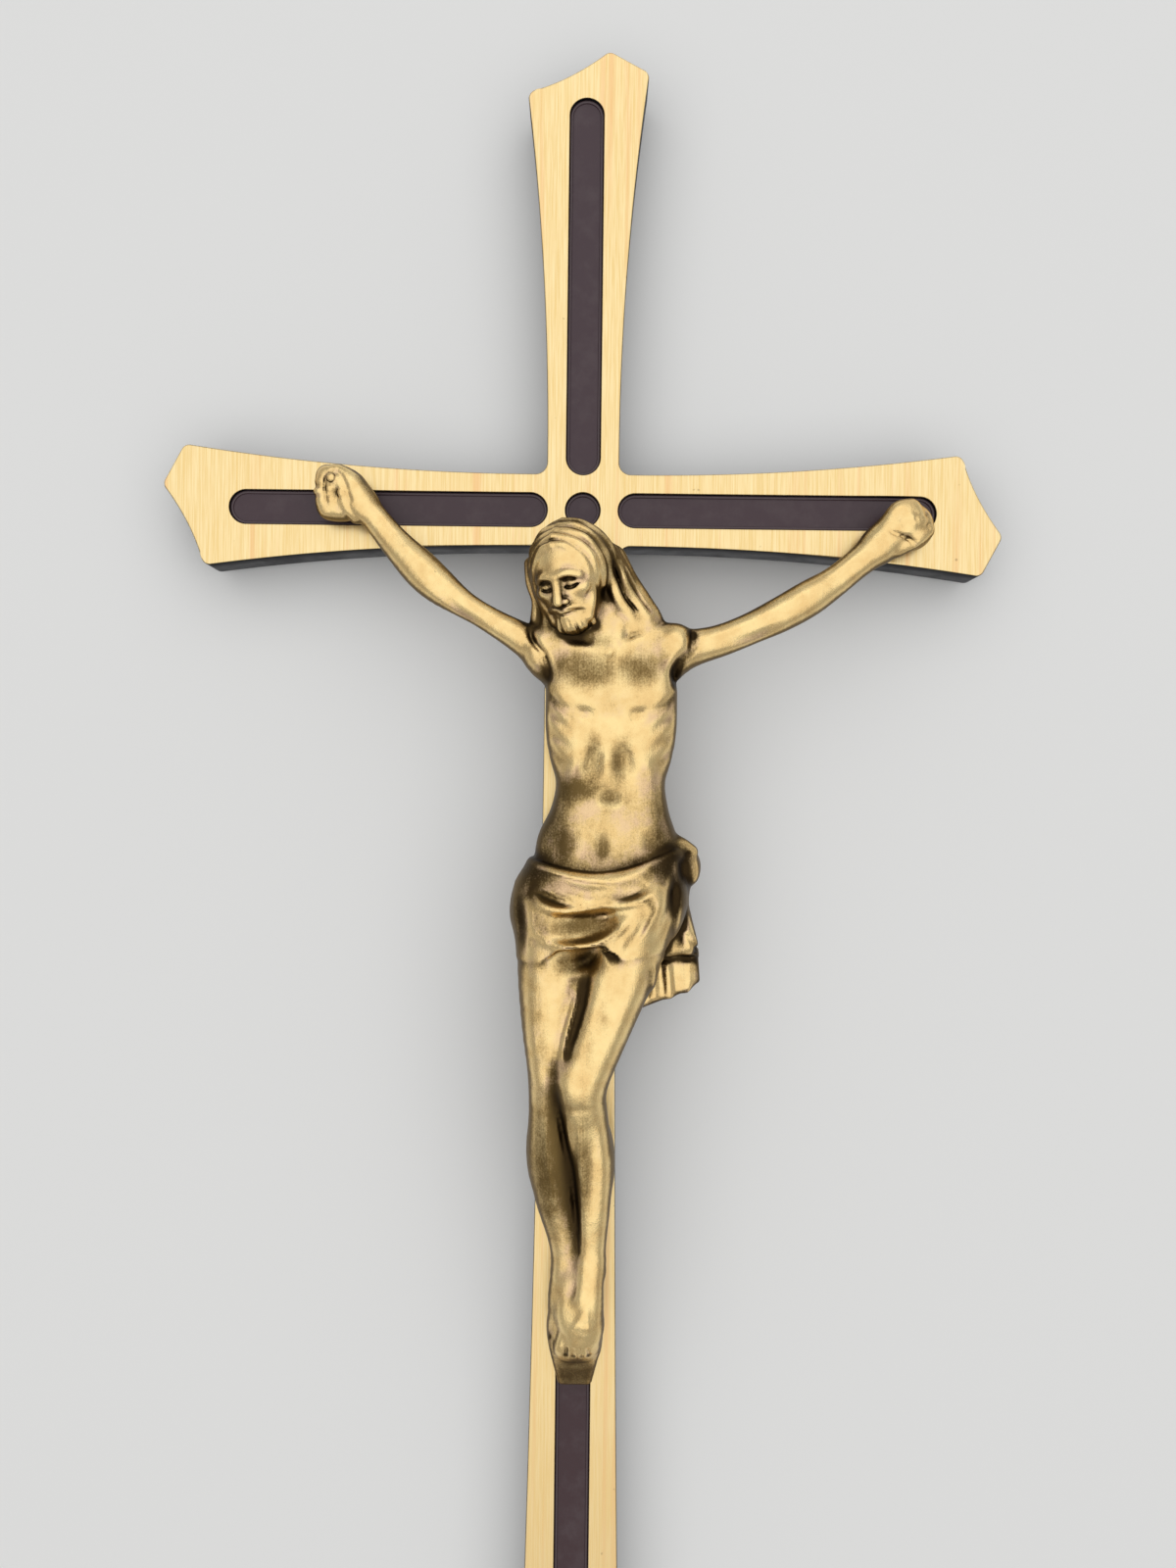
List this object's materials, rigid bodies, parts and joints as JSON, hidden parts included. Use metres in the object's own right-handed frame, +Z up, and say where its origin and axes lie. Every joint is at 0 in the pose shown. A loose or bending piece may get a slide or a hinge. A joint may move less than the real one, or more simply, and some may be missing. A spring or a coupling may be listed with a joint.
{
  "type": "metal grave cross",
  "caption": "Slim brass grave cross with flared pointed arms, dark inlaid channels and a cast bronze corpus, fixed to a headstone from behind.",
  "frame": {"origin": "on the plate's back face, at the crossing of the arms", "axes": "+Z up along the long arm, +X to the viewer's right, +Y out of the back into the stone"},
  "size_m": [0.2, 0.0367, 0.5],
  "materials": {
    "brushed_brass": "brushed face, black lacquered edges and back",
    "channel_lacquer": "dark brown maroon lacquer filled into the recesses",
    "edge_lacquer": "glossy black lacquer",
    "cast_bronze": "polished cast bronze with dark patina in the hollows"
  },
  "bodies": {
    "root": {"cross_plate": "brushed_brass", "corpus": "cast_bronze"}
  },
  "joints": []
}
